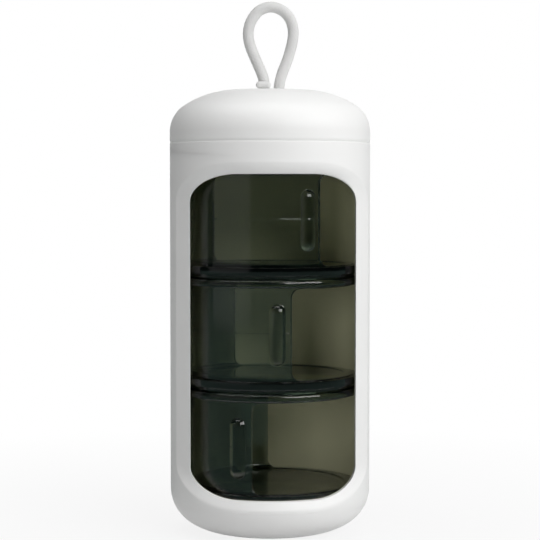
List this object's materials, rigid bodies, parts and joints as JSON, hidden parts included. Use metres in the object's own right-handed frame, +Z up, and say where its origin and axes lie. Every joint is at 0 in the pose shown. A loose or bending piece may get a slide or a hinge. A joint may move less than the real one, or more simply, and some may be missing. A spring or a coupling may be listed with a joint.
{
  "type": "travel pill box",
  "caption": "Capsule-shaped travel pill box: a case with a tall window, stacked clear drums that turn behind it to open or close, and a pull-off domed cap with a cord loop.",
  "frame": {"origin": "centre of the flat base, on the axis of the case", "axes": "+Z up the axis of the case, -Y out of the middle of the window"},
  "size_m": [0.042, 0.042, 0.111],
  "materials": {
    "case_white": "satin, moulded",
    "plug_white": "satin, moulded",
    "drum_smoke": "clear, smoke tinted",
    "cord_white": "matte, fine braided cover"
  },
  "bodies": {
    "shell": {"shell": "case_white"},
    "cap": {"cap": "case_white", "cap_plug": "plug_white", "lanyard_loop": "cord_white", "lanyard_knot": "cord_white", "lanyard_tail": "cord_white"},
    "upper_drum": {"upper_drum": "drum_smoke"},
    "middle_drum": {"middle_drum": "drum_smoke"},
    "lower_drum": {"lower_drum": "drum_smoke"}
  },
  "joints": [
    {"name": "upper_drum_turn", "type": "hinge", "parent": "shell", "child": "upper_drum", "pos_m": [0, 0, 0.0542], "axis": [0, 0, 1], "continuous": true},
    {"name": "middle_drum_turn", "type": "hinge", "parent": "shell", "child": "middle_drum", "pos_m": [0, 0, 0.03115], "axis": [0, 0, 1], "continuous": true},
    {"name": "lower_drum_turn", "type": "hinge", "parent": "shell", "child": "lower_drum", "pos_m": [0, 0, 0.0081], "axis": [0, 0, 1], "continuous": true},
    {"name": "cap_lift", "type": "slide", "parent": "shell", "child": "cap", "axis": [0, 0, 1], "range_m": [0, 0.03]}
  ]
}
